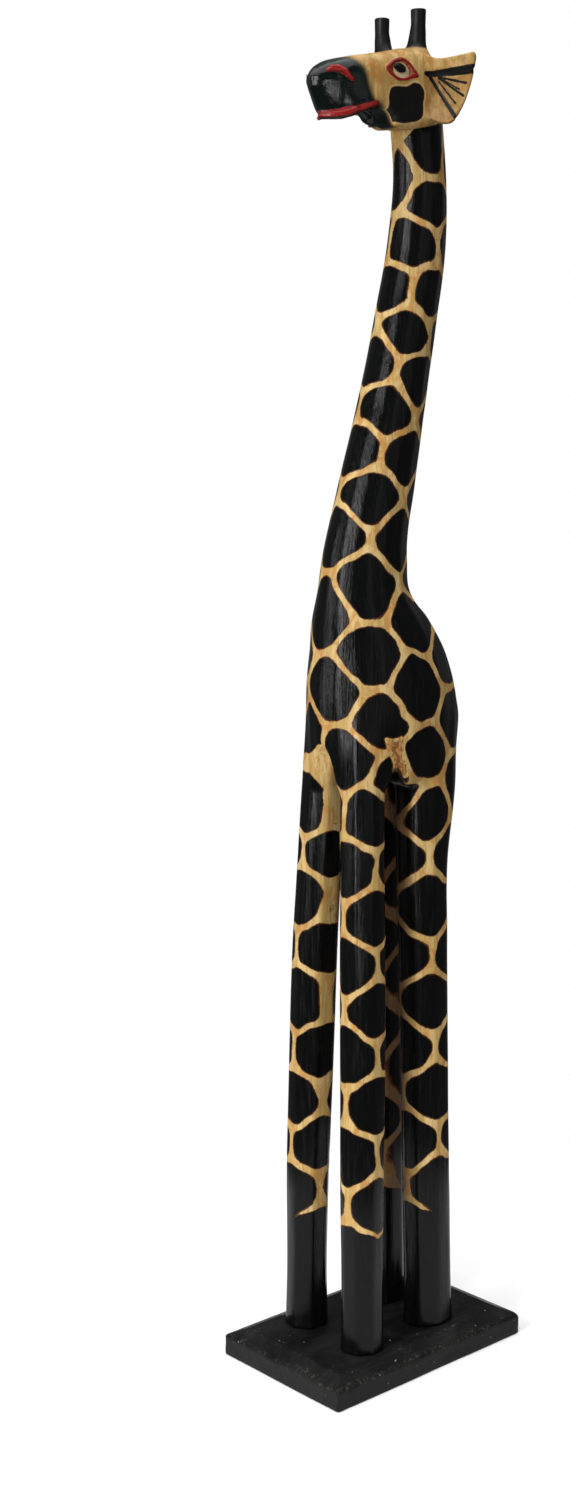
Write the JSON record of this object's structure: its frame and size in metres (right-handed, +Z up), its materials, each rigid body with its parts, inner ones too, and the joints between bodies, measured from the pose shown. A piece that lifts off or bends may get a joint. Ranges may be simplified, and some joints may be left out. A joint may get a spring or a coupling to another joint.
{
  "type": "carved giraffe statue",
  "caption": "Tall carved and painted wooden giraffe standing on a low rectangular plinth, with a long neck, straight legs, short horns and flared ears.",
  "frame": {"origin": "middle of the plinth's underside", "axes": "+Z up, and the giraffe faces -Y, so its left side is +X"},
  "size_m": [0.1206, 0.1778, 0.908],
  "materials": {
    "painted_hide": "ochre stained wood with black painted patches, satin varnish",
    "black_lacquer": "black paint, satin varnish",
    "plinth_black": "black stain, dull, worn at the edges",
    "bare_wood": "bare sawn hardwood",
    "zinc_steel": "zinc plated"
  },
  "bodies": {
    "root": {"plinth": "plinth_black", "neck_and_body": "painted_hide", "head": "painted_hide", "ear_left": "painted_hide", "ear_right": "painted_hide", "horn_left": "black_lacquer", "horn_right": "black_lacquer", "leg_front_left": "painted_hide", "leg_front_right": "painted_hide", "leg_rear_left": "painted_hide", "leg_rear_right": "painted_hide", "tail": "black_lacquer", "neck_dowel": "bare_wood", "ear_dowel_left": "bare_wood", "ear_dowel_right": "bare_wood", "leg_dowel_front_left": "bare_wood", "leg_dowel_front_right": "bare_wood", "leg_dowel_rear_left": "bare_wood", "leg_dowel_rear_right": "bare_wood", "foot_screw_front_left": "zinc_steel", "foot_screw_front_right": "zinc_steel", "foot_screw_rear_left": "zinc_steel", "foot_screw_rear_right": "zinc_steel"}
  },
  "joints": []
}
